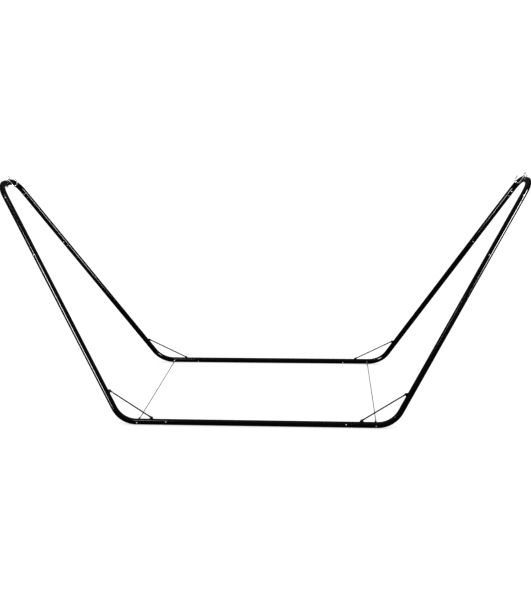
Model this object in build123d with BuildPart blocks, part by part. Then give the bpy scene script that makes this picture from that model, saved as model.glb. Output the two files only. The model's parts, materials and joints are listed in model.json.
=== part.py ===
from build123d import *
import math
import os

# Hammock stand: a closed loop of round steel tube that plugs together.
# Two side frames (front and rear) lie in planes that lean inwards. Each has a straight
# base tube on the ground, a bent corner tube at either end and an arm tube above it.
# The two frames meet in a U-shaped end bend at each end, which carries the hammock hook.
# Millimetres, +Z up, +X along the stand, +Y from front to rear.
# Origin: on the ground under the middle of the stand.

# Overall shape, given by the tube centrelines before any bend is rounded
TUBE_DIAMETER = 32.0
TUBE_WALL = 1.5
CORNER_X = 747.0        # half length of the base, to the sharp corner
HALF_WIDTH = 575.0      # centre plane to each base tube
APEX_X = 1712.0         # where the front and rear arm lines would cross
APEX_RISE = 1605.0      # the same crossing, above the base tubes
CORNER_RADIUS = 145.0   # bend from base to arm
END_RADIUS = 107.0      # the two bends of an end bend
END_STRAIGHT = 85.0     # straight piece between those two bends

# Plug joints: a reduced spigot slides into the next tube, and two sprung buttons lock it
BASE_SEAM_X = 521.0     # end of a base tube, from the middle of the stand
ARM_SEAM = 1041.0       # foot of an arm tube, along the arm from the sharp corner
TOP_SEAM = 1424.0       # head of an arm tube, along the arm from the sharp corner
SPIGOT_GAP = 0.1        # radial clearance of a spigot in its socket
SPIGOT_LENGTH = 60.0
TOP_SPIGOT_LENGTH = 40.0
SHOULDER_LENGTH = 3.0   # cone between a tube's full size and its spigot
MOUTH_CHAMFER = 0.5
BUTTON_OFFSET = 28.0    # seam to button

# Snap buttons, measured outwards from the tube's axis
BUTTON_DIAMETER = 8.0
BUTTON_HOLE_DIAMETER = 8.6
BUTTON_PROUD = 3.0
BUTTON_ROUNDING = 2.0
FLANGE_DIAMETER = 10.0
FLANGE_BASE = 10.3
FLANGE_THICKNESS = 1.3

# Leaf springs inside the spigots
LEAF_THICKNESS = 0.8
LEAF_WIDTH = 8.0
LEAF_PAD = 6.0          # half the flat stretch under a button
LEAF_LENGTH = 45.0
LEAF_NECK = 2.5         # half the width of the V at its closed end
LEAF_PAD_RADIUS = 5.0
LEAF_NECK_RADIUS = 2.4
LEAF_GAP = 0.2

# Corner braces: a rod between two lugs welded to a corner tube
BASE_LUG_REACH = 170.0  # sharp corner to the lug on the base
ARM_LUG_REACH = 180.0   # sharp corner to the lug on the arm
LUG_HOLE_HEIGHT = 22.5  # tube axis to the lug's hole
LUG_LENGTH = 24.0
LUG_FOOT = 9.0          # the hole down to the lug's foot, before it is fitted to the tube
LUG_EDGE_RADIUS = 6.5
LUG_THICKNESS = 3.0
ROD_DIAMETER = 6.5
ROD_EYE_DIAMETER = 12.0
ROD_EYE_THICKNESS = 3.0
ROD_NECK_WIDTH = 8.0
ROD_NECK_START = 10.0   # from the hole: the flat ends here
ROD_NECK_END = 26.0     # and the rod is round from here

# M5 screws of the braces
M5_DIAMETER = 5.0
M5_HOLE_DIAMETER = 5.4
M5_HEAD_DIAMETER = 9.0
M5_HEAD_HEIGHT = 3.2
M5_HEAD_ROUNDING = 1.6
M5_SOCKET_WIDTH = 3.0   # hexagon socket, across the flats
M5_SOCKET_DEPTH = 2.0
M5_NUT_WIDTH = 8.0
M5_NUT_HEIGHT = 4.0
M5_NUT_CHAMFER = 0.5
M5_THREAD_PAST_NUT = 1.5
THREAD_GAP = 0.05       # bolt to nut

# Cross cables between the front and rear base tubes
CABLE_X = 655.0
CABLE_DIAMETER = 3.5
CABLE_EYE_RADIUS = 6.0  # centreline of the eye's wire
CABLE_EYE_WIRE = 4.0
CABLE_GAP = 0.2         # cable to the wire it pulls on
LOOP_HALF_WIDTH = 5.5
LOOP_CORNER_RADIUS = 5.3
LOOP_EASE_RADIUS = 10.0
LOOP_TURN_LENGTH = 7.5
LOOP_LENGTH = 20.0
STRAND_SPACING = 3.7    # the two strands inside a ferrule
FERRULE_LENGTH = 14.0
FERRULE_WIDTH = 10.6
FERRULE_HEIGHT = 6.8
FERRULE_GAP = 0.1
FERRULE_SETBACK = 2.0   # from where the strands split

# Hooks and their eye bolts
EYE_TILT = 10.0         # degrees, from upright towards the middle of the stand
EYE_RADIUS = 9.0        # centreline of the eye's wire
EYE_WIRE = 6.0
EYE_SHANK_DIAMETER = 8.0
EYE_HOLE_DIAMETER = 8.6
EYE_THREAD_PAST_NUT = 3.0
M8_NUT_WIDTH = 13.0
M8_NUT_HEIGHT = 6.5
M8_NUT_CHAMFER = 0.8
WASHER_DIAMETER = 16.0
WASHER_THICKNESS = 1.6
HOOK_WIRE = 6.0
HOOK_GAP = 0.3          # hook wire to the eye
HOOK_TUBE_GAP = 0.5     # hook shank to the tube it hangs against
HOOK_HEAD_RADIUS = 7.0
HOOK_HEAD_EASE = 0.1    # keeps a short flat on the crest between its two bends
HOOK_HEAD_LENGTH = 17.0
HOOK_CROSSOVER_START = 20.0
HOOK_CROSSOVER_END = 32.0
HOOK_CROSSOVER_RADIUS = 10.0
HOOK_LENGTH = 62.0      # centre of the eye to the bottom of the bowl
HOOK_BOWL_WIDTH = 30.0
HOOK_BOWL_RADIUS = 14.8
HOOK_TIP_START = 28.0
HOOK_TIP_FLARE = 3.0
HOOK_END_ROUNDING = 1.5

ENDS = {"left": -1, "right": 1}
SIDES = {"front": -1, "rear": 1}
JOINTS = ("base", "arm", "top")
FACES = {"outer": 1, "inner": -1}

# Worked out from the sizes above
TUBE_RADIUS = TUBE_DIAMETER / 2
BORE_RADIUS = TUBE_RADIUS - TUBE_WALL
SPIGOT_RADIUS = BORE_RADIUS - SPIGOT_GAP
SPIGOT_BORE = SPIGOT_RADIUS - TUBE_WALL
PLANE_RISE = math.hypot(HALF_WIDTH, APEX_RISE)
SIDE_LEAN = math.atan2(HALF_WIDTH, APEX_RISE)
ARM_SLOPE = math.atan2(PLANE_RISE, APEX_X - CORNER_X)
ARM_LENGTH = math.hypot(PLANE_RISE, APEX_X - CORNER_X)
END_HALF_ANGLE = math.asin(HALF_WIDTH / ARM_LENGTH)
END_TANGENT = END_RADIUS * math.tan((math.pi / 2 - END_HALF_ANGLE) / 2)
END_CORNER_Y = END_STRAIGHT / 2 + END_TANGENT
END_CORNER_REACH = ARM_LENGTH - END_CORNER_Y / math.sin(END_HALF_ANGLE)

os.makedirs("parts", exist_ok=True)


def sharp_corner(end, side):
    """Where the base and arm centrelines of one quarter of the stand cross."""
    return Vector(ENDS[end] * CORNER_X, SIDES[side] * HALF_WIDTH, TUBE_RADIUS)


def outward(end):
    """Unit vector along the base, away from the middle."""
    return Vector(ENDS[end], 0, 0)


def up_frame(side):
    """Unit vector up the leaning plane of a side frame."""
    return Vector(0, -SIDES[side] * math.sin(SIDE_LEAN), math.cos(SIDE_LEAN))


def frame_normal(side):
    """Unit vector square to a side frame, pointing away from the other one."""
    return Vector(0, SIDES[side] * math.cos(SIDE_LEAN), math.sin(SIDE_LEAN))


def arm_direction(end, side):
    return outward(end) * math.cos(ARM_SLOPE) + up_frame(side) * math.sin(ARM_SLOPE)


def arm_inside(end, side):
    """Unit vector square to an arm, towards the inside of the corner."""
    return up_frame(side) * math.cos(ARM_SLOPE) - outward(end) * math.sin(ARM_SLOPE)


def arm_point(end, side, reach):
    return sharp_corner(end, side) + arm_direction(end, side) * reach


def base_point(end, side, x):
    return Vector(ENDS[end] * x, SIDES[side] * HALF_WIDTH, TUBE_RADIUS)


def snap_joint(end, side, joint):
    """Centre of a joint's buttons, and the direction from there into the plugged-in tube."""
    if joint == "base":
        return base_point(end, side, BASE_SEAM_X - BUTTON_OFFSET), outward(end)
    seam = ARM_SEAM if joint == "arm" else TOP_SEAM
    return arm_point(end, side, seam + BUTTON_OFFSET), arm_direction(end, side) * -1


def add_tube(points, bend_radius=None):
    """Sweep the tube's wall along a route of straight runs, rounded at its corners."""
    with BuildLine() as route:
        if bend_radius is None:
            Polyline(*points)
        else:
            FilletPolyline(*points, radius=bend_radius)
    with BuildSketch(Plane(origin=points[0], z_dir=points[1] - points[0])) as wall:
        Circle(TUBE_RADIUS)
        Circle(BORE_RADIUS, mode=Mode.SUBTRACT)
    sweep(wall.sketch, path=route.line)


def add_spigot(end_centre, direction, across, length):
    """Turn the end of a tube down to a spigot that points along direction."""
    with BuildSketch(Plane(origin=end_centre, x_dir=across, z_dir=across.cross(direction))) as profile:
        with BuildLine():
            Polyline(
                (BORE_RADIUS, 0),
                (TUBE_RADIUS, 0),
                (SPIGOT_RADIUS, SHOULDER_LENGTH),
                (SPIGOT_RADIUS, SHOULDER_LENGTH + length),
                (SPIGOT_BORE, SHOULDER_LENGTH + length),
                (SPIGOT_BORE, SHOULDER_LENGTH),
                close=True,
            )
        make_face()
    revolve(profile.sketch, axis=Axis(end_centre, direction))


def drill(centre, direction, diameter):
    """Bore straight through both walls of a tube."""
    with BuildSketch(Plane(origin=centre, z_dir=direction)) as bore:
        Circle(diameter / 2)
    extrude(bore.sketch, amount=TUBE_DIAMETER, both=True, mode=Mode.SUBTRACT)


def ease_mouth(tube, centre):
    """Break the outer edge of a socket's mouth."""
    rims = [
        edge
        for edge in tube.edges().filter_by(GeomType.CIRCLE)
        if abs(edge.radius - TUBE_RADIUS) < 0.01 and (edge.arc_center - centre).length < 0.01
    ]
    chamfer(rims, length=MOUTH_CHAMFER)


def save(piece, name):
    piece.part.label = name
    export_step(piece.part, f"parts/{name}.step")


# Base tubes: sockets at both ends
for side in SIDES:
    ends = [base_point("left", side, BASE_SEAM_X), base_point("right", side, BASE_SEAM_X)]
    with BuildPart() as base_tube:
        add_tube(ends)
        for end in ENDS:
            drill(snap_joint(end, side, "base")[0], frame_normal(side), BUTTON_HOLE_DIAMETER)
            ease_mouth(base_tube, base_point(end, side, BASE_SEAM_X))
    save(base_tube, f"{side}_base_tube")

# Corner tubes: one bend, with a spigot at each end
for side in SIDES:
    for end in ENDS:
        foot = base_point(end, side, BASE_SEAM_X + SHOULDER_LENGTH)
        head = arm_point(end, side, ARM_SEAM - SHOULDER_LENGTH)
        with BuildPart() as corner_tube:
            add_tube([foot, sharp_corner(end, side), head], CORNER_RADIUS)
            add_spigot(foot, outward(end) * -1, frame_normal(side), SPIGOT_LENGTH)
            add_spigot(head, arm_direction(end, side), frame_normal(side), SPIGOT_LENGTH)
            for joint in ("base", "arm"):
                drill(snap_joint(end, side, joint)[0], frame_normal(side), BUTTON_HOLE_DIAMETER)
            drill(base_point(end, side, CABLE_X), Vector(0, 1, 0), M5_HOLE_DIAMETER)
        save(corner_tube, f"{side}_{end}_corner_tube")

# Arm tubes: a socket at the foot and a spigot at the head
for side in SIDES:
    for end in ENDS:
        foot = arm_point(end, side, ARM_SEAM)
        head = arm_point(end, side, TOP_SEAM - SHOULDER_LENGTH)
        with BuildPart() as arm_tube:
            add_tube([foot, head])
            add_spigot(head, arm_direction(end, side), frame_normal(side), TOP_SPIGOT_LENGTH)
            for joint in ("arm", "top"):
                drill(snap_joint(end, side, joint)[0], frame_normal(side), BUTTON_HOLE_DIAMETER)
            ease_mouth(arm_tube, foot)
        save(arm_tube, f"{side}_{end}_arm_tube")


def end_centre(end):
    """Middle of the straight piece of an end bend, on the tube's axis."""
    front = arm_point(end, "front", END_CORNER_REACH)
    rear = arm_point(end, "rear", END_CORNER_REACH)
    return (front + rear) * 0.5


def eye_direction(end):
    """Unit vector along an eye bolt, from the tube to the eye."""
    tilt = math.radians(EYE_TILT)
    return Vector(-ENDS[end] * math.sin(tilt), 0, math.cos(tilt))


# End bends: a socket at each foot and a hole for the eye bolt in the middle
for end in ENDS:
    route = [
        arm_point(end, "front", TOP_SEAM),
        arm_point(end, "front", END_CORNER_REACH),
        arm_point(end, "rear", END_CORNER_REACH),
        arm_point(end, "rear", TOP_SEAM),
    ]
    with BuildPart() as end_bend:
        add_tube(route, END_RADIUS)
        for side in SIDES:
            drill(snap_joint(end, side, "top")[0], frame_normal(side), BUTTON_HOLE_DIAMETER)
            ease_mouth(end_bend, arm_point(end, side, TOP_SEAM))
        drill(end_centre(end), eye_direction(end), EYE_HOLE_DIAMETER)
    save(end_bend, f"{end}_end_bend")

# Snap buttons: a flanged stem with a rounded tip, two to a joint
FLANGE_TOP = FLANGE_BASE + FLANGE_THICKNESS
for side in SIDES:
    for end in ENDS:
        for joint in JOINTS:
            for face, way in FACES.items():
                centre = snap_joint(end, side, joint)[0]
                direction = frame_normal(side) * way
                with BuildPart() as button:
                    with BuildSketch(Plane(origin=centre + direction * FLANGE_BASE, z_dir=direction)):
                        Circle(FLANGE_DIAMETER / 2)
                    extrude(amount=FLANGE_THICKNESS)
                    with BuildSketch(Plane(origin=centre + direction * FLANGE_TOP, z_dir=direction)):
                        Circle(BUTTON_DIAMETER / 2)
                    extrude(amount=TUBE_RADIUS + BUTTON_PROUD - FLANGE_TOP)
                    tip = button.faces().sort_by(Axis(centre, direction))[-1]
                    fillet(tip.edges(), radius=BUTTON_ROUNDING)
                save(button, f"{side}_{end}_{joint}_button_{face}")

# Leaf springs: one V of flat spring steel behind the two buttons of each joint
LEAF_PATH = FLANGE_BASE - LEAF_GAP - LEAF_THICKNESS / 2
with BuildPart() as springs:
    for side in SIDES:
        for end in ENDS:
            for joint in JOINTS:
                centre, inwards = snap_joint(end, side, joint)
                normal = frame_normal(side)
                plane = Plane(origin=centre, x_dir=inwards, z_dir=inwards.cross(normal))
                with BuildLine(plane) as leaf:
                    FilletPolyline(
                        (-LEAF_PAD, LEAF_PATH),
                        (LEAF_PAD, LEAF_PATH),
                        (LEAF_LENGTH, LEAF_NECK),
                        (LEAF_LENGTH, -LEAF_NECK),
                        (LEAF_PAD, -LEAF_PATH),
                        (-LEAF_PAD, -LEAF_PATH),
                        radius=[LEAF_PAD_RADIUS, LEAF_NECK_RADIUS, LEAF_NECK_RADIUS, LEAF_PAD_RADIUS],
                    )
                start = leaf.line @ 0
                with BuildSketch(Plane(origin=start, x_dir=normal, z_dir=inwards)):
                    Rectangle(LEAF_THICKNESS, LEAF_WIDTH)
                sweep(path=leaf.line)
save(springs, "snap_button_springs")


def lug_seats(end, side):
    """The two lugs of a corner: hole centre, direction along the tube, direction away from it."""
    base_along = outward(end)
    base_hole = sharp_corner(end, side) - base_along * BASE_LUG_REACH + up_frame(side) * LUG_HOLE_HEIGHT
    arm_along = arm_direction(end, side)
    arm_hole = arm_point(end, side, ARM_LUG_REACH) + arm_inside(end, side) * LUG_HOLE_HEIGHT
    return (base_hole, base_along, up_frame(side)), (arm_hole, arm_along, arm_inside(end, side))


# Brace lugs: flat plates whose feet are fitted to the tube
for side in SIDES:
    for end in ENDS:
        with BuildPart() as lugs:
            for hole, along, away in lug_seats(end, side):
                back = hole - frame_normal(side) * LUG_THICKNESS
                plane = Plane(origin=back, x_dir=along, z_dir=frame_normal(side))
                foot_y = plane.to_local_coords(back - away * LUG_FOOT).Y
                with BuildSketch(plane):
                    Circle(LUG_EDGE_RADIUS)
                    with Locations((0, foot_y)):
                        Rectangle(LUG_LENGTH, 1)
                    make_hull()
                    Circle(M5_HOLE_DIAMETER / 2, mode=Mode.SUBTRACT)
                extrude(amount=LUG_THICKNESS)
                tube_start = hole - away * LUG_HOLE_HEIGHT - along * LUG_LENGTH
                with BuildSketch(Plane(origin=tube_start, z_dir=along)):
                    Circle(TUBE_RADIUS)
                extrude(amount=2 * LUG_LENGTH, mode=Mode.SUBTRACT)
        save(lugs, f"{side}_{end}_brace_lugs")

# Brace rods: round rod, flattened and drilled at both ends, lying against the lugs
for side in SIDES:
    for end in ENDS:
        normal = frame_normal(side)
        (base_hole, _, _), (arm_hole, _, _) = lug_seats(end, side)
        span = (arm_hole - base_hole).length
        ahead = (arm_hole - base_hole).normalized()
        with BuildPart() as rod:
            for hole, way in ((base_hole, ahead), (arm_hole, ahead * -1)):
                middle = hole + normal * (ROD_EYE_THICKNESS / 2)
                with BuildSketch(Plane(origin=hole, x_dir=way, z_dir=normal)):
                    Circle(ROD_EYE_DIAMETER / 2)
                    with Locations((ROD_NECK_START / 2, 0)):
                        Rectangle(ROD_NECK_START, ROD_NECK_WIDTH)
                extrude(amount=ROD_EYE_THICKNESS)
                with BuildSketch(Plane(origin=middle + way * ROD_NECK_START, x_dir=normal, z_dir=way)):
                    RectangleRounded(ROD_EYE_THICKNESS, ROD_NECK_WIDTH, radius=ROD_EYE_THICKNESS / 2.1)
                with BuildSketch(Plane(origin=middle + way * ROD_NECK_END, x_dir=normal, z_dir=way)):
                    Circle(ROD_DIAMETER / 2)
                loft()
                with BuildSketch(Plane(origin=hole, z_dir=normal)):
                    Circle(M5_HOLE_DIAMETER / 2)
                extrude(amount=ROD_DIAMETER, both=True, mode=Mode.SUBTRACT)
            rod_start = base_hole + normal * (ROD_EYE_THICKNESS / 2) + ahead * ROD_NECK_END
            with BuildSketch(Plane(origin=rod_start, z_dir=ahead)):
                Circle(ROD_DIAMETER / 2)
            extrude(amount=span - 2 * ROD_NECK_END)
        save(rod, f"{side}_{end}_brace_rod")

def hexagon_nut(seat_plane, width, height, thread, corner_chamfer):
    """A hexagon nut on its seat, with its corners chamfered at the outer face."""
    with BuildPart() as nut:
        with BuildSketch(seat_plane) as disc:
            Circle(width / math.sqrt(3))
        extrude(disc.sketch, amount=height)
        height_axis = Axis(seat_plane.origin, seat_plane.z_dir)
        outer_rim = nut.edges().filter_by(GeomType.CIRCLE).sort_by(height_axis)[-1]
        chamfer(outer_rim, length=corner_chamfer)
        with BuildSketch(seat_plane) as hexagon:
            RegularPolygon(width / 2, 6, major_radius=False)
        extrude(hexagon.sketch, amount=height, mode=Mode.INTERSECT)
        with BuildSketch(seat_plane) as bore:
            Circle(thread / 2 + THREAD_GAP)
        extrude(bore.sketch, amount=height, mode=Mode.SUBTRACT)
    return nut.part


# Brace screws and nuts: the head is on the rod's side, the nut on the lug's
SCREW_LENGTH = ROD_EYE_THICKNESS + LUG_THICKNESS + M5_NUT_HEIGHT + M5_THREAD_PAST_NUT
with BuildPart() as screws:
    for side in SIDES:
        for end in ENDS:
            for hole, _, _ in lug_seats(end, side):
                normal = frame_normal(side)
                seat = hole + normal * ROD_EYE_THICKNESS
                with BuildSketch(Plane(origin=seat, z_dir=normal)):
                    Circle(M5_HEAD_DIAMETER / 2)
                extrude(amount=M5_HEAD_HEIGHT)
                crown = seat + normal * M5_HEAD_HEIGHT
                rim = [
                    edge
                    for edge in screws.edges().filter_by(GeomType.CIRCLE)
                    if (edge.arc_center - crown).length < 0.01
                ]
                fillet(rim, radius=M5_HEAD_ROUNDING)
                with BuildSketch(Plane(origin=crown, z_dir=normal)):
                    RegularPolygon(M5_SOCKET_WIDTH / 2, 6, major_radius=False)
                extrude(amount=-M5_SOCKET_DEPTH, mode=Mode.SUBTRACT)
                with BuildSketch(Plane(origin=seat, z_dir=normal * -1)):
                    Circle(M5_DIAMETER / 2)
                extrude(amount=SCREW_LENGTH)
save(screws, "brace_screws")

with BuildPart() as nuts:
    for side in SIDES:
        for end in ENDS:
            for hole, along, _ in lug_seats(end, side):
                normal = frame_normal(side)
                seat = hole - normal * LUG_THICKNESS
                seat_plane = Plane(origin=seat, x_dir=along, z_dir=normal * -1)
                add(hexagon_nut(seat_plane, M5_NUT_WIDTH, M5_NUT_HEIGHT, M5_DIAMETER, M5_NUT_CHAMFER))
save(nuts, "brace_nuts")

# Cable eye bolts: through each corner tube, the eye on the inner side, the nut outside
EYE_OFFSET = TUBE_RADIUS + CABLE_EYE_RADIUS + CABLE_EYE_WIRE / 2
CABLE_SHANK_END = TUBE_RADIUS + M5_NUT_HEIGHT + M5_THREAD_PAST_NUT
with BuildPart() as cable_eyes:
    for side, way in SIDES.items():
        for end in ENDS:
            inwards = Vector(0, -way, 0)
            seat = base_point(end, side, CABLE_X)
            eye = seat + inwards * EYE_OFFSET
            with BuildSketch(Plane(origin=eye + inwards * CABLE_EYE_RADIUS, x_dir=inwards, z_dir=(0, 0, 1))):
                Circle(CABLE_EYE_WIRE / 2)
            revolve(axis=Axis(eye, (1, 0, 0)))
            shank_start = eye - inwards * CABLE_EYE_RADIUS
            with BuildSketch(Plane(origin=shank_start, z_dir=inwards * -1)):
                Circle(M5_DIAMETER / 2)
            extrude(amount=EYE_OFFSET - CABLE_EYE_RADIUS + CABLE_SHANK_END)
save(cable_eyes, "cable_eye_bolts")

with BuildPart() as cable_nuts:
    for side, way in SIDES.items():
        for end in ENDS:
            seat = base_point(end, side, CABLE_X) + Vector(0, way * TUBE_RADIUS, 0)
            seat_plane = Plane(origin=seat, x_dir=(1, 0, 0), z_dir=(0, way, 0))
            add(hexagon_nut(seat_plane, M5_NUT_WIDTH, M5_NUT_HEIGHT, M5_DIAMETER, M5_NUT_CHAMFER))
save(cable_nuts, "cable_eye_nuts")

# Cross cables: wire rope pulled tight, looped through the eye at each end
LOOP_END_Y = HALF_WIDTH - EYE_OFFSET - CABLE_EYE_RADIUS + (CABLE_EYE_WIRE + CABLE_DIAMETER) / 2 + CABLE_GAP
SPLIT_Y = LOOP_END_Y - LOOP_LENGTH
FERRULE_OUTER_Y = SPLIT_Y - FERRULE_SETBACK
FERRULE_INNER_Y = FERRULE_OUTER_Y - FERRULE_LENGTH
for end in ENDS:
    middle = Vector(ENDS[end] * CABLE_X, 0, TUBE_RADIUS)
    loop = [
        (STRAND_SPACING / 2, SPLIT_Y),
        (LOOP_HALF_WIDTH, LOOP_END_Y - LOOP_TURN_LENGTH),
        (LOOP_HALF_WIDTH, LOOP_END_Y),
        (-LOOP_HALF_WIDTH, LOOP_END_Y),
        (-LOOP_HALF_WIDTH, LOOP_END_Y - LOOP_TURN_LENGTH),
        (-STRAND_SPACING / 2, SPLIT_Y),
        (-STRAND_SPACING / 2, FERRULE_INNER_Y),
    ]
    front_loop = [(x, -y) for x, y in reversed(loop)]
    loop_radii = [
        LOOP_EASE_RADIUS,
        LOOP_EASE_RADIUS,
        LOOP_CORNER_RADIUS,
        LOOP_CORNER_RADIUS,
        LOOP_EASE_RADIUS,
        LOOP_EASE_RADIUS,
    ]
    with BuildPart() as cable:
        with BuildLine(Plane(origin=middle)) as route:
            FilletPolyline(*front_loop, *loop, radius=loop_radii + loop_radii)
        with BuildSketch(Plane(origin=route.line @ 0, z_dir=(0, -1, 0))):
            Circle(CABLE_DIAMETER / 2)
        sweep(path=route.line)
    save(cable, f"{end}_cross_cable")

# Ferrules: oval sleeves pressed over the two strands at each loop
with BuildPart() as ferrules:
    for side, way in SIDES.items():
        for end in ENDS:
            mouth = Vector(ENDS[end] * CABLE_X, way * FERRULE_INNER_Y, TUBE_RADIUS)
            with BuildSketch(Plane(origin=mouth, x_dir=(1, 0, 0), z_dir=(0, way, 0))):
                SlotOverall(FERRULE_WIDTH, FERRULE_HEIGHT)
                SlotOverall(
                    STRAND_SPACING + CABLE_DIAMETER + FERRULE_GAP,
                    CABLE_DIAMETER + FERRULE_GAP,
                    mode=Mode.SUBTRACT,
                )
            extrude(amount=FERRULE_LENGTH)
save(ferrules, "cable_ferrules")

# Hook eye bolts: a forged eye on a shank that passes through the end bend
EYE_HEIGHT = TUBE_RADIUS + EYE_RADIUS + EYE_WIRE / 2
EYE_SHANK_END = TUBE_RADIUS + WASHER_THICKNESS + M8_NUT_HEIGHT + EYE_THREAD_PAST_NUT
for end in ENDS:
    up = eye_direction(end)
    eye = end_centre(end) + up * EYE_HEIGHT
    with BuildPart() as eye_bolt:
        with BuildSketch(Plane(origin=eye + up * EYE_RADIUS, x_dir=up, z_dir=up.cross(Vector(0, 1, 0)))):
            Circle(EYE_WIRE / 2)
        revolve(axis=Axis(eye, (0, 1, 0)))
        with BuildSketch(Plane(origin=eye - up * EYE_RADIUS, z_dir=up * -1)):
            Circle(EYE_SHANK_DIAMETER / 2)
        extrude(amount=EYE_HEIGHT - EYE_RADIUS + EYE_SHANK_END)
    save(eye_bolt, f"{end}_hook_eye_bolt")

with BuildPart() as washers:
    for end in ENDS:
        down = eye_direction(end) * -1
        with BuildSketch(Plane(origin=end_centre(end) + down * TUBE_RADIUS, z_dir=down)):
            Circle(WASHER_DIAMETER / 2)
            Circle(EYE_HOLE_DIAMETER / 2, mode=Mode.SUBTRACT)
        extrude(amount=WASHER_THICKNESS)
save(washers, "hook_washers")

with BuildPart() as hook_nuts:
    for end in ENDS:
        down = eye_direction(end) * -1
        seat = end_centre(end) + down * (TUBE_RADIUS + WASHER_THICKNESS)
        seat_plane = Plane(origin=seat, x_dir=(0, 1, 0), z_dir=down)
        add(hexagon_nut(seat_plane, M8_NUT_WIDTH, M8_NUT_HEIGHT, EYE_SHANK_DIAMETER, M8_NUT_CHAMFER))
save(hook_nuts, "hook_nuts")

# Hooks: round wire. The head wraps the eye's wire, crosswise to the open bowl, and the
# shank hangs against the tube. Each swings about the axis of its eye, along Y.
# SHANK_ANGLE is measured from straight down, towards the middle of the stand.
HANG_ANGLE = math.asin((TUBE_RADIUS + HOOK_WIRE / 2 + HOOK_TUBE_GAP) / EYE_HEIGHT)
SHANK_ANGLE = HANG_ANGLE - math.radians(EYE_TILT)
HOOK_CREST = EYE_RADIUS - (EYE_WIRE + HOOK_WIRE) / 2 - HOOK_GAP
for end in ENDS:
    eye = end_centre(end) + eye_direction(end) * EYE_HEIGHT
    inwards = outward(end) * -1
    up = Vector(0, 0, 1)
    shank = inwards * math.sin(SHANK_ANGLE) - up * math.cos(SHANK_ANGLE)
    bowl = inwards * math.cos(SHANK_ANGLE) + up * math.sin(SHANK_ANGLE)
    across = Vector(0, 1, 0)
    route = [
        eye + shank * HOOK_HEAD_LENGTH + across * HOOK_HEAD_RADIUS,
        eye + shank * HOOK_CREST + across * HOOK_HEAD_RADIUS,
        eye + shank * HOOK_CREST - across * HOOK_HEAD_RADIUS,
        eye + shank * HOOK_CROSSOVER_START - across * HOOK_HEAD_RADIUS,
        eye + shank * HOOK_CROSSOVER_END,
        eye + shank * HOOK_LENGTH,
        eye + shank * HOOK_LENGTH + bowl * HOOK_BOWL_WIDTH,
        eye + shank * HOOK_TIP_START + bowl * (HOOK_BOWL_WIDTH + HOOK_TIP_FLARE),
    ]
    head_bend = HOOK_HEAD_RADIUS - HOOK_HEAD_EASE
    bends = [
        head_bend,
        head_bend,
        HOOK_CROSSOVER_RADIUS,
        HOOK_CROSSOVER_RADIUS,
        HOOK_BOWL_RADIUS,
        HOOK_BOWL_RADIUS,
    ]
    with BuildPart() as hook:
        with BuildLine() as wire:
            FilletPolyline(*route, radius=bends)
        with BuildSketch(Plane(origin=route[0], z_dir=route[1] - route[0])):
            Circle(HOOK_WIRE / 2)
        sweep(path=wire.line)
        tips = [
            edge
            for edge in hook.edges().filter_by(GeomType.CIRCLE)
            if min((edge.arc_center - route[0]).length, (edge.arc_center - route[-1]).length) < 0.01
        ]
        fillet(tips, radius=HOOK_END_ROUNDING)
    save(hook, f"{end}_hook")
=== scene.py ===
import json
import math

import bmesh
import bpy
from mathutils import Matrix, Vector


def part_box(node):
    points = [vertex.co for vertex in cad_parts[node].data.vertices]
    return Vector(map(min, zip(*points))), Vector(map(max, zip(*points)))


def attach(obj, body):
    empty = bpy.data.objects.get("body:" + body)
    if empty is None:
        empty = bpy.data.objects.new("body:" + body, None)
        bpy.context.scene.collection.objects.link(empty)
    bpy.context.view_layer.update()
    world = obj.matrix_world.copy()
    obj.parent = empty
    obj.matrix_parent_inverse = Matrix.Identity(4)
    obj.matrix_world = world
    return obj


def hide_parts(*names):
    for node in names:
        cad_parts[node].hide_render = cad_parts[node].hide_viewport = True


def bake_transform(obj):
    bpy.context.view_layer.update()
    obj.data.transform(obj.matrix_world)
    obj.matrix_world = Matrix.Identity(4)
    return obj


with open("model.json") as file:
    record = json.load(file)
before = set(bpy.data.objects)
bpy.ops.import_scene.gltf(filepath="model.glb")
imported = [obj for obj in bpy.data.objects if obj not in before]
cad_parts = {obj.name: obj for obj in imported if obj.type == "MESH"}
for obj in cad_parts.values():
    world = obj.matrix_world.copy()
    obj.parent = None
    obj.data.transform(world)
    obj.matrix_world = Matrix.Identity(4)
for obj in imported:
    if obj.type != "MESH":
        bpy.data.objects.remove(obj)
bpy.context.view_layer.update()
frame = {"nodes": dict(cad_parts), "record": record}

NODES = frame["nodes"]
CORNERS = [(side, end) for side in ("front", "rear") for end in ("left", "right")]
MERGE_DISTANCE = 1e-6


def grey(value):
    return (value, value, value, 1)


WHITE = grey(1.0)

# ---------------------------------------------------------------- camera, light and floor

LENS_MM = 49.18
CAMERA_AT = Vector((0.3947, -4.7707, 1.6857))
CAMERA_YAW = -0.0733
CAMERA_PITCH = -0.2283
CAMERA_ROLL = 0.0124
CAMERA_SHIFT_X = -0.0072
CAMERA_REACH = 200.0
VIEW_GAMMA = 0.75

SKY_SEEN = 1.02
SKY_FILL = 0.8
SKY_GLOSS_HEIGHTS = (-0.2, 1.0)
SKY_GLOSS_LEVELS = (0.05, 0.22)

FLOOR_HALF = 60.0
FLOOR_PAPER = 0.42
FLOOR_GLOW = 0.72
FLOOR_IN_GLOSS = 0.08

# Each lamp's name, place, aim, width, height and watts, and whether it shows in reflections only.
LAMPS = (
    ("strip_right", (3.67, -1.87, 1.75), (1.2, -0.2, 1.0), 0.9, 2.2, 230, True),
    ("strip_left", (-2.9, -3.2, 1.4), (-1.1, -0.3, 1.1), 0.9, 2.1, 220, True),
    ("strip_corner", (-1.5, -2.28, 3.52), (-0.6, -0.5, 0.0), 0.4, 0.6, 12, True),
    ("softbox_top", (0.0, 0.6, 5.0), (0.0, 0.0, 0.0), 5.0, 4.0, 15, False),
)


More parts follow.
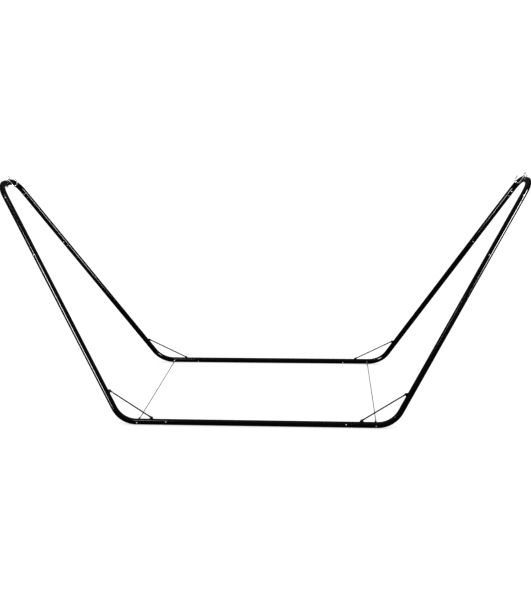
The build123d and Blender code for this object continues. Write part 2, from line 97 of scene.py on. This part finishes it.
def make_camera():
    """The photograph's viewpoint, turned by its yaw, pitch and slight roll."""
    ahead = Vector((
        math.sin(CAMERA_YAW) * math.cos(CAMERA_PITCH),
        math.cos(CAMERA_YAW) * math.cos(CAMERA_PITCH),
        math.sin(CAMERA_PITCH),
    ))
    level = Vector((math.cos(CAMERA_YAW), -math.sin(CAMERA_YAW), 0))
    down = -level.cross(ahead)
    right = level * math.cos(CAMERA_ROLL) + down * math.sin(CAMERA_ROLL)
    down = down * math.cos(CAMERA_ROLL) - level * math.sin(CAMERA_ROLL)
    data = bpy.data.cameras.new("camera")
    data.lens = LENS_MM
    data.shift_x = CAMERA_SHIFT_X
    data.clip_end = CAMERA_REACH
    camera = bpy.data.objects.new("camera", data)
    axes = Matrix((right, -down, -ahead)).transposed()
    camera.matrix_world = Matrix.Translation(CAMERA_AT) @ axes.to_4x4()
    bpy.context.collection.objects.link(camera)
    bpy.context.scene.camera = camera


def softbox(name, place, aim, width, height, watts, glint_only):
    data = bpy.data.lights.new(name, "AREA")
    data.shape = "RECTANGLE"
    data.size = width
    data.size_y = height
    data.energy = watts
    lamp = bpy.data.objects.new(name, data)
    lamp.location = place
    lamp.rotation_mode = "QUATERNION"
    lamp.rotation_quaternion = (Vector(aim) - Vector(place)).to_track_quat("-Z", "Y")
    lamp.visible_camera = False
    lamp.visible_diffuse = not glint_only
    bpy.context.collection.objects.link(lamp)


def light_node(tree, kind, colour, strength=None):
    """A shader node of one colour, with a strength where the kind has one."""
    made = tree.nodes.new(kind)
    made.inputs["Color"].default_value = colour
    if strength is not None:
        made.inputs["Strength"].default_value = strength
    return made


def mix_shaders(tree, factor, first, second):
    made = tree.nodes.new("ShaderNodeMixShader")
    tree.links.new(factor, made.inputs[0])
    tree.links.new(first.outputs[0], made.inputs[1])
    tree.links.new(second.outputs[0], made.inputs[2])
    return made


def make_world():
    """White to look at, softly lit, and calmer in reflections, like a studio with a paper sweep."""
    world = bpy.data.worlds.new("studio")
    world.use_nodes = True
    tree = world.node_tree
    tree.nodes.clear()
    out = tree.nodes.new("ShaderNodeOutputWorld")
    path = tree.nodes.new("ShaderNodeLightPath")
    seen = light_node(tree, "ShaderNodeBackground", WHITE, SKY_SEEN)
    fill = light_node(tree, "ShaderNodeBackground", WHITE, SKY_FILL)
    gloss = light_node(tree, "ShaderNodeBackground", WHITE)
    up = tree.nodes.new("ShaderNodeSeparateXYZ")
    tree.links.new(tree.nodes.new("ShaderNodeTexCoord").outputs["Generated"], up.inputs[0])
    rise = tree.nodes.new("ShaderNodeMapRange")
    for socket, value in enumerate(SKY_GLOSS_HEIGHTS + SKY_GLOSS_LEVELS, start=1):
        rise.inputs[socket].default_value = value
    tree.links.new(up.outputs["Z"], rise.inputs[0])
    tree.links.new(rise.outputs[0], gloss.inputs["Strength"])
    by_gloss = mix_shaders(tree, path.outputs["Is Glossy Ray"], fill, gloss)
    by_camera = mix_shaders(tree, path.outputs["Is Camera Ray"], by_gloss, seen)
    tree.links.new(by_camera.outputs[0], out.inputs["Surface"])
    bpy.context.scene.world = world


def make_floor():
    """White paper that takes a soft shadow, and stays dark in the tubes' reflections."""
    mesh = bpy.data.meshes.new("floor")
    signs = ((-1, -1), (1, -1), (1, 1), (-1, 1))
    mesh.from_pydata([(x * FLOOR_HALF, y * FLOOR_HALF, 0) for x, y in signs], [], [(0, 1, 2, 3)])
    floor = bpy.data.objects.new("floor", mesh)
    bpy.context.collection.objects.link(floor)
    material = bpy.data.materials.new("floor_paper")
    material.use_nodes = True
    tree = material.node_tree
    tree.nodes.clear()
    out = tree.nodes.new("ShaderNodeOutputMaterial")
    path = tree.nodes.new("ShaderNodeLightPath")
    paper = light_node(tree, "ShaderNodeBsdfDiffuse", grey(FLOOR_PAPER))
    glow = light_node(tree, "ShaderNodeEmission", WHITE, FLOOR_GLOW)
    dim = light_node(tree, "ShaderNodeBsdfDiffuse", grey(FLOOR_IN_GLOSS))
    both = tree.nodes.new("ShaderNodeAddShader")
    tree.links.new(paper.outputs[0], both.inputs[0])
    tree.links.new(glow.outputs[0], both.inputs[1])
    pick = mix_shaders(tree, path.outputs["Is Glossy Ray"], both, dim)
    tree.links.new(pick.outputs[0], out.inputs["Surface"])
    mesh.materials.append(material)


make_camera()
make_world()
make_floor()
for lamp_row in LAMPS:
    softbox(*lamp_row)
bpy.context.scene.view_settings.view_transform = "Standard"
bpy.context.scene.view_settings.gamma = VIEW_GAMMA

# ---------------------------------------------------------------- materials

COAT_DARK = (0.0008, 0.0008, 0.001, 1)
COAT_PALE = (0.0018, 0.0018, 0.002, 1)
COAT_ROUGHNESS = (0.08, 0.13)
COAT_SPECULAR = 0.45
CLEAR_WEIGHT = 0.15
CLEAR_ROUGHNESS = 0.06
PEEL_DEPTH = 0.000012
FINE_PEEL_DEPTH = 0.000002
SCRATCH_DEPTH = 0.00001
SCRATCH_TONE = 0.03
SCRATCH_ALONG_X = (30, 900, 900)
SCRATCH_ALONG_Z = (900, 900, 30)
GRIT_COLOUR = (0.05, 0.045, 0.04, 1)
GRIT_HEIGHT = 0.012

DULL_SPOT = (0.22, 0.21, 0.19, 1)
SPOT_DEPTH = 0.00004
DRAW_MARKS = (2600, 300, 2600)
DRAW_MARK_DEPTH = 0.00003

ROPE_LAY = 0.0035
ROPE_STRANDS = 6.0
ROPE_TONES = (0.025, 0.07)
# painted shade: the dark tone painted into the grooves between the rope's strands
ROPE_GROOVE_SHADE = 0.006
ROPE_GROOVE_DEPTH = 0.0004

SCREW_DARK = (0.012, 0.012, 0.014, 1)
SCREW_PALE = (0.03, 0.03, 0.034, 1)
SCREW_GRAIN_DEPTH = 0.00003


class Painter:
    """A Principled material with short ways to add and join nodes."""

    def __init__(self, name):
        self.material = bpy.data.materials.new(name)
        self.material.use_nodes = True
        self.tree = self.material.node_tree
        self.shader = self.tree.nodes["Principled BSDF"]
        self.place = self.tree.nodes.new("ShaderNodeTexCoord").outputs["Object"]

    def plug(self, socket, value):
        """Joins another node's output to a socket, or sets the socket's own value."""
        if hasattr(value, "is_output"):
            self.tree.links.new(value, socket)
        else:
            socket.default_value = value

    def node(self, kind, inputs, **settings):
        made = self.tree.nodes.new(kind)
        for key, value in settings.items():
            setattr(made, key, value)
        for key, value in inputs.items():
            self.plug(made.inputs[key], value)
        return made

    def stretched(self, scale):
        return self.node("ShaderNodeMapping", {"Vector": self.place, "Scale": scale}).outputs[0]

    def noise(self, scale, detail, vector=None, rough=0.5):
        inputs = {"Vector": vector or self.place, "Scale": scale, "Detail": detail, "Roughness": rough}
        return self.node("ShaderNodeTexNoise", inputs).outputs["Fac"]

    def spread(self, value, low, high, to_low=0.0, to_high=1.0):
        inputs = {0: value, 1: low, 2: high, 3: to_low, 4: to_high}
        return self.node("ShaderNodeMapRange", inputs, clamp=True).outputs[0]

    def math(self, operation, a, b=0.0):
        return self.node("ShaderNodeMath", {0: a, 1: b}, operation=operation).outputs[0]

    def mix(self, factor, a, b):
        return self.node("ShaderNodeMix", {0: factor, 6: a, 7: b}, data_type="RGBA").outputs[2]

    def bump(self, height, distance, strength=1.0, after=None):
        inputs = {"Height": height, "Distance": distance, "Strength": strength}
        if after is not None:
            inputs["Normal"] = after
        return self.node("ShaderNodeBump", inputs).outputs[0]

    def set(self, socket, value):
        self.plug(self.shader.inputs[socket], value)


def black_coat():
    """Gloss black powder coat: fine orange peel, faint scratches, a little grit low down."""
    p = Painter("gloss_black_coat")
    peel = p.noise(520, 2)
    fine = p.noise(2600, 1)
    cloud = p.noise(9, 4)
    lengthwise = p.noise(1.0, 5, p.stretched(SCRATCH_ALONG_X), 0.6)
    crosswise = p.noise(1.0, 5, p.stretched(SCRATCH_ALONG_Z), 0.6)
    scratch = p.math("MAXIMUM", p.spread(lengthwise, 0.66, 0.7), p.spread(crosswise, 0.67, 0.71))
    scratch = p.math("MULTIPLY", scratch, p.spread(p.noise(4, 2), 0.48, 0.6))
    height = p.node("ShaderNodeSeparateXYZ", {0: p.place}).outputs[2]
    low = p.spread(height, GRIT_HEIGHT, 0.0)
    grit = p.math("MULTIPLY", low, p.spread(p.noise(260, 4), 0.5, 0.62))
    base = p.mix(cloud, COAT_DARK, COAT_PALE)
    base = p.mix(p.math("MULTIPLY", scratch, 0.3), base, grey(SCRATCH_TONE))
    p.set("Base Color", p.mix(p.math("MULTIPLY", grit, 0.5), base, GRIT_COLOUR))
    rough = p.spread(cloud, 0.3, 0.7, *COAT_ROUGHNESS)
    rough = p.math("ADD", rough, p.math("MULTIPLY", scratch, 0.2))
    p.set("Roughness", p.math("ADD", rough, p.math("MULTIPLY", grit, 0.5)))
    skin = p.bump(peel, PEEL_DEPTH, 0.5)
    skin = p.bump(fine, FINE_PEEL_DEPTH, 0.4, skin)
    p.set("Normal", p.bump(scratch, SCRATCH_DEPTH, -0.6, skin))
    p.set("Specular IOR Level", COAT_SPECULAR)
    p.set("Coat Weight", CLEAR_WEIGHT)
    p.set("Coat Roughness", CLEAR_ROUGHNESS)
    return p.material


def plated(name, colour, roughness, spangle=0.06, metal=0.6):
    """Bright plate or plain metal: cloudy tone, fine draw marks, and dull spots."""
    p = Painter(name)
    cloud = p.noise(70, 4)
    spots = p.spread(p.noise(420, 3), 0.62, 0.72)
    marks = p.noise(1.0, 3, p.stretched(DRAW_MARKS))
    dark = tuple(c * (1 - 2.5 * spangle) for c in colour)
    tone = p.mix(cloud, (*dark, 1), (*colour, 1))
    p.set("Base Color", p.mix(p.math("MULTIPLY", spots, 0.35), tone, DULL_SPOT))
    p.set("Metallic", metal)
    rough = p.spread(cloud, 0.3, 0.7, roughness, roughness + 0.12)
    p.set("Roughness", p.math("ADD", rough, p.math("MULTIPLY", spots, 0.2)))
    skin = p.bump(marks, DRAW_MARK_DEPTH, 0.5)
    p.set("Normal", p.bump(spots, SPOT_DEPTH, -0.5, skin))
    return p.material


def wire_rope():
    """Galvanised rope: strands laid round the rope's axis, which runs along Y at each end, with painted
    shade darkening the grooves between strands.
    """
    p = Painter("galvanised_rope")
    low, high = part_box("right_cross_cable")
    rope_x = (low[0] + high[0]) / 2
    rope_z = (low[2] + high[2]) / 2
    split = p.node("ShaderNodeSeparateXYZ", {0: p.place})
    side = p.math("SUBTRACT", p.math("ABSOLUTE", split.outputs[0]), rope_x)
    rise = p.math("SUBTRACT", split.outputs[2], rope_z)
    turn = p.math("ARCTAN2", rise, side)
    along = p.math("MULTIPLY", split.outputs[1], 2 * math.pi / ROPE_LAY)
    lay = p.math("SINE", p.math("ADD", p.math("MULTIPLY", turn, ROPE_STRANDS), along))
    groove_bump_and_shade = p.spread(lay, -1.0, -0.2)
    grime = p.noise(180, 4)
    steel = p.mix(grime, grey(ROPE_TONES[0]), grey(ROPE_TONES[1]))
    # painted shade: the grooves between strands are darkened in the base colour, and the same mask bumps
    # them in
    p.set("Base Color", p.mix(groove_bump_and_shade, grey(ROPE_GROOVE_SHADE), steel))
    p.set("Metallic", 0.85)
    p.set("Roughness", p.spread(grime, 0.3, 0.7, 0.38, 0.55))
    p.set("Normal", p.bump(groove_bump_and_shade, ROPE_GROOVE_DEPTH, 0.8))
    return p.material


def black_zinc():
    """Dull black plate with a fine grain, for the brace screws and nuts."""
    p = Painter("black_zinc")
    cloud = p.noise(300, 4)
    p.set("Base Color", p.mix(cloud, SCREW_DARK, SCREW_PALE))
    p.set("Metallic", 0.6)
    p.set("Roughness", p.spread(cloud, 0.3, 0.7, 0.3, 0.45))
    p.set("Normal", p.bump(p.noise(1500, 2), SCREW_GRAIN_DEPTH, 0.5))
    return p.material


MATERIALS = {
    "frame_coat": black_coat(),
    "zinc_steel": plated("bright_zinc", (0.78, 0.8, 0.83), 0.2),
    "hook_steel": plated("plated_hook_wire", (0.86, 0.85, 0.88), 0.12, spangle=0.04, metal=0.62),
    "button_steel": plated("plated_button", (0.74, 0.74, 0.72), 0.24),
    "spring_steel": plated("blued_spring", (0.32, 0.33, 0.38), 0.3, metal=0.9),
    "ferrule_aluminium": plated("pressed_aluminium", (0.8, 0.8, 0.8), 0.35),
    "black_screw": black_zinc(),
    "cable_jacket": wire_rope(),
}

slots = {row["node"]: row["material_slot"] for row in frame["record"]["subparts"]}
for name, node in NODES.items():
    material = MATERIALS[slots[name]]
    if not node.material_slots:
        node.data.materials.append(material)
    for place in node.material_slots:
        place.material = material

# ---------------------------------------------------------------- weld beads under the brace lugs

BEAD_RADIUS = 0.0014
BEAD_SINK = 0.0002
BEAD_STEP = 0.0004
BEAD_SIDES = 12
BEAD_ROUNDING = 3
BEAD_THINNEST = 0.86
BEAD_RIPPLE = 0.0017
BEAD_RIPPLE_SWELL = 0.16
BEAD_SWAY_SWELL = 0.08
BEAD_SWAY_RATE = 900
BEAD_PHASE = 1.3
FOOT_EDGE = (0.018, 0.026)
FOOT_CREASE = math.radians(30)


def merged_mesh(node):
    """A node's own mesh, joined up where its corners meet."""
    mesh = bmesh.new()
    mesh.from_mesh(node.data)
    bmesh.ops.remove_doubles(mesh, verts=mesh.verts, dist=MERGE_DISTANCE)
    return mesh


def new_object(name, mesh, slot):
    """Turns a finished bmesh into an object of one material, with its faces turned outwards."""
    bmesh.ops.recalc_face_normals(mesh, faces=mesh.faces)
    data = bpy.data.meshes.new(name)
    mesh.to_mesh(data)
    mesh.free()
    data.materials.append(MATERIALS[slot])
    made = bpy.data.objects.new(name, data)
    bpy.context.collection.objects.link(made)
    return made


def foot_edges(node):
    """The long straight edges of a lug's foot, as pairs of ends, two for each lug."""
    mesh = merged_mesh(node)
    found = []
    for edge in mesh.edges:
        if FOOT_EDGE[0] < edge.calc_length() < FOOT_EDGE[1] and len(edge.link_faces) == 2:
            if edge.calc_face_angle() > FOOT_CREASE:
                found.append((edge.verts[0].co.copy(), edge.verts[1].co.copy()))
    mesh.free()
    return found


def bead_line(first, second):
    """A closed line round the foot, sunk a little into the lug, with rounded ends."""
    a, b = first
    c, d = second
    if (b - c).length > (b - d).length:
        c, d = d, c
    middle = (a + b + c + d) / 4
    corners = [point + (middle - point).normalized() * BEAD_SINK for point in (a, b, c, d)]
    line = []
    for start, end in zip(corners, corners[1:] + corners[:1]):
        count = max(2, round((end - start).length / BEAD_STEP))
        line += [start.lerp(end, step / count) for step in range(count)]
    for _ in range(BEAD_ROUNDING):
        line = [(line[i - 1] + line[i] * 2 + line[(i + 1) % len(line)]) / 4 for i in range(len(line))]
    return line


def add_bead(mesh, line, away, phase):
    """A closed rod along the line, with the ripples of a hand weld."""
    rings = []
    run = 0.0
    for index, point in enumerate(line):
        ahead = (line[(index + 1) % len(line)] - line[index - 1]).normalized()
        side = ahead.cross(away).normalized()
        lift = side.cross(ahead)
        ripple = BEAD_RIPPLE_SWELL * abs(math.sin(math.pi * run / BEAD_RIPPLE + phase))
        sway = BEAD_SWAY_SWELL * math.sin(run * BEAD_SWAY_RATE + phase)
        radius = BEAD_RADIUS * (BEAD_THINNEST + ripple + sway)
        ring = []
        for spoke in range(BEAD_SIDES):
            angle = 2 * math.pi * spoke / BEAD_SIDES
            ring.append(mesh.verts.new(point + (side * math.cos(angle) + lift * math.sin(angle)) * radius))
        rings.append(ring)
        run += (line[(index + 1) % len(line)] - point).length
    for index, ring in enumerate(rings):
        after = rings[(index + 1) % len(rings)]
        for spoke in range(BEAD_SIDES):
            turn = (spoke + 1) % BEAD_SIDES
            mesh.faces.new((ring[spoke], ring[turn], after[turn], after[spoke]))


def weld_lugs(side, end):
    """One bead round each lug's foot; the nearest two long edges belong to one lug."""
    edges = foot_edges(NODES[f"{side}_{end}_brace_lugs"])
    mesh = bmesh.new()
    beads = 0
    while edges:
        first = edges.pop(0)
        centre = (first[0] + first[1]) / 2
        edges.sort(key=lambda edge: ((edge[0] + edge[1]) / 2 - centre).length)
        second = edges.pop(0)
        away = (first[1] - first[0]).cross(second[0] - first[0]).normalized()
        add_bead(mesh, bead_line(first, second), away, beads * BEAD_PHASE)
        beads += 1
    weld = new_object(f"{side}_{end}_lug_welds", mesh, "frame_coat")
    for face in weld.data.polygons:
        face.use_smooth = True
    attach(weld, "frame")


for side, end in CORNERS:
    weld_lugs(side, end)

# ---------------------------------------------------------------- leaf springs, one leaf for each button

LEAF_NODE = "snap_button_springs"
CUT_TOLERANCE = 1e-7


def loose_parts(mesh):
    """The separate solids of a mesh, as lists of its faces."""
    waiting = set(mesh.faces)
    parts = []
    while waiting:
        grown = [waiting.pop()]
        for face in grown:
            for edge in face.edges:
                for near in edge.link_faces:
                    if near in waiting:
                        waiting.discard(near)
                        grown.append(near)
        parts.append(grown)
    return parts


def spring_parts():
    """The middle of each spring, with its corner points and faces."""
    mesh = merged_mesh(NODES[LEAF_NODE])
    springs = []
    for faces in loose_parts(mesh):
        points = {vert: vert.co.copy() for face in faces for vert in face.verts}
        middle = sum(points.values(), Vector()) / len(points)
        order = {vert: index for index, vert in enumerate(points)}
        shape = [[order[vert] for vert in face.verts] for face in faces]
        springs.append((middle, list(points.values()), shape))
    mesh.free()
    return springs


def box_middle(name):
    low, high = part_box(name)
    return (Vector(low) + Vector(high)) / 2


def add_leaf(name, spring, centre, outwards):
    """The half of a V spring on one button's side."""
    middle, points, shape = spring
    mesh = bmesh.new()
    verts = [mesh.verts.new(point) for point in points]
    for corners in shape:
        mesh.faces.new([verts[index] for index in corners])
    bmesh.ops.bisect_plane(
        mesh,
        geom=mesh.verts[:] + mesh.edges[:] + mesh.faces[:],
        dist=CUT_TOLERANCE,
        plane_co=centre,
        plane_no=outwards,
        clear_inner=True,
    )
    open_edges = [edge for edge in mesh.edges if len(edge.link_faces) == 1]
    bmesh.ops.holes_fill(mesh, edges=open_edges, sides=0)
    leaf = new_object(name, mesh, "spring_steel")
    away = middle - centre
    away = (away - outwards * away.dot(outwards)).normalized()
    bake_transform(leaf)
    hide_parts(LEAF_NODE)


def add_leaves(side, end, joint, springs):
    """The two leaves behind the two buttons of one joint."""
    stem = f"{side}_{end}_{joint}"
    outer = box_middle(f"{stem}_button_outer")
    inner = box_middle(f"{stem}_button_inner")
    centre = (outer + inner) / 2
    outwards = (outer - inner).normalized()
    spring = min(springs, key=lambda part: (part[0] - centre).length)
    for face, way in (("outer", 1), ("inner", -1)):
        add_leaf(f"{stem}_leaf_{face}", spring, centre, outwards * way)


all_springs = spring_parts()
for side, end in CORNERS:
    for joint in ("base", "arm", "top"):
        add_leaves(side, end, joint, all_springs)
